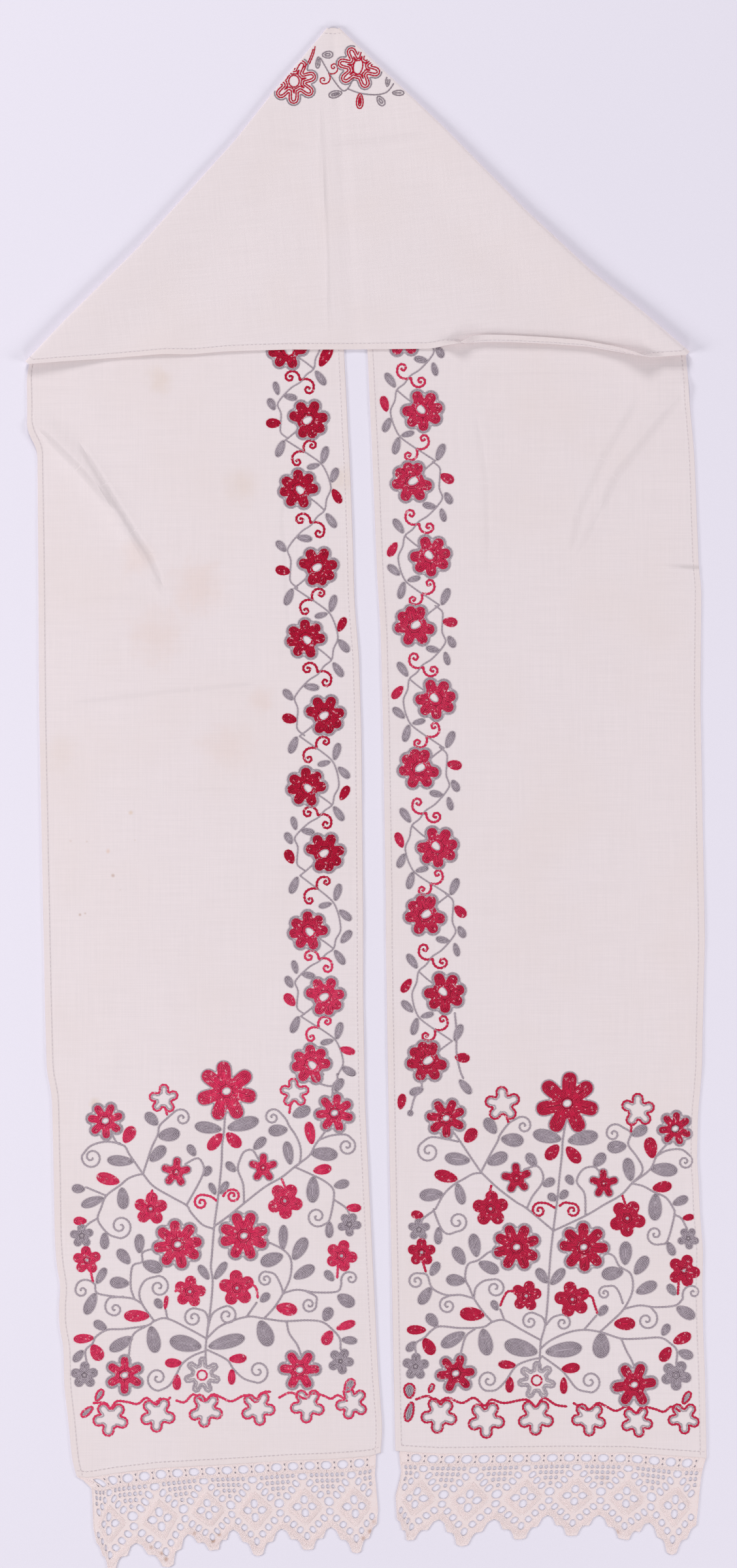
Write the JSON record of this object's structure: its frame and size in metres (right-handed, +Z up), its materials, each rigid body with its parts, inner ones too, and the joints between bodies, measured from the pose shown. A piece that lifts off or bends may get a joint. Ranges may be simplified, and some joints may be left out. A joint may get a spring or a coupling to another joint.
{
  "type": "rushnyk",
  "caption": "Long embroidered linen towel with crochet edgings, folded twice over its front so two panels hang side by side under a triangle, lying flat.",
  "frame": {"origin": "middle of the laid-out towel's outline, on the surface it lies on", "axes": "+X across the two panels to the right, +Y from the crochet ends to the pointed top, +Z up out of the cloth"},
  "size_m": [0.7814, 1.7694, 0.0171],
  "materials": {
    "linen": "plain weave, matt, slightly creased",
    "crochet_cotton": "crocheted cotton thread, matt",
    "red_thread": "mercerised chain stitch, slight sheen",
    "grey_thread": "mercerised chain stitch, slight sheen"
  },
  "bodies": {
    "root": {"cloth": "linen", "lace_left": "crochet_cotton", "lace_right": "crochet_cotton"}
  },
  "joints": []
}
